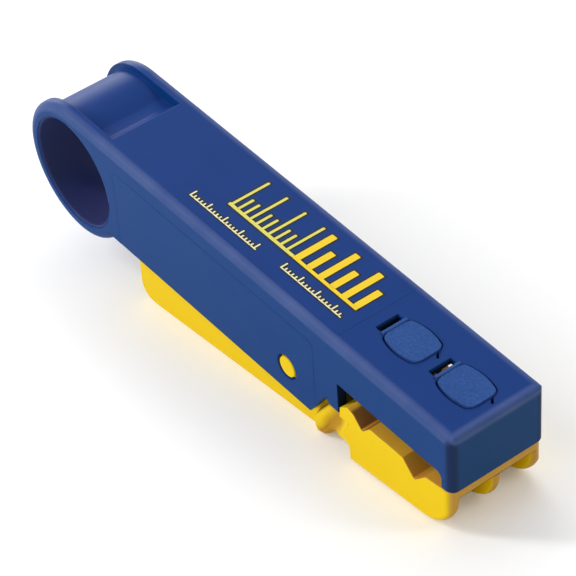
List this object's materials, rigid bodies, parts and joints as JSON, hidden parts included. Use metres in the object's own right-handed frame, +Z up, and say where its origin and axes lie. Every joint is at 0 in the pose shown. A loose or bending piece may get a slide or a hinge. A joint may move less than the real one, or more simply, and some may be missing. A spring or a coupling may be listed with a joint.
{
  "type": "coaxial cable stripper",
  "caption": "Hand tool with a finger ring and a sprung lever that closes a notched jaw under blade cartridges, to strip coaxial cable.",
  "frame": {"origin": "on the lever's flat underside, straight below the lever's pivot, in the tool's middle plane", "axes": "+X along the lever's underside towards the jaw, +Y along the pivot and the finger ring's bore, +Z up from the underside to the roof"},
  "size_m": [0.1281, 0.021, 0.0379],
  "materials": {
    "blue_plastic": "satin moulded blue plastic",
    "yellow_plastic": "satin moulded yellow plastic",
    "pad_plastic": "satin moulded lighter blue plastic, slightly grained",
    "blade_steel": "ground blade steel",
    "pin_steel": "drawn steel pin",
    "spring_wire": "bright spring wire"
  },
  "bodies": {
    "body": {"housing": "blue_plastic", "lever_spring": "spring_wire", "rear_cartridge": "pad_plastic", "rear_jacket_blade": "blade_steel", "rear_core_blade": "blade_steel", "rear_blade_pin": "pin_steel", "front_cartridge": "pad_plastic", "front_jacket_blade": "blade_steel", "front_core_blade": "blade_steel", "front_blade_pin": "pin_steel"},
    "lever": {"clamp_lever": "yellow_plastic"}
  },
  "joints": [
    {"name": "lever_pivot", "type": "hinge", "parent": "body", "child": "lever", "pos_m": [0, 0, 0.01244], "axis": [0, 1, 0], "range_deg": [0, 14], "stiffness_Nm_per_rad": 1.26, "springref_deg": -19.77, "deforming": ["lever_spring"]}
  ]
}
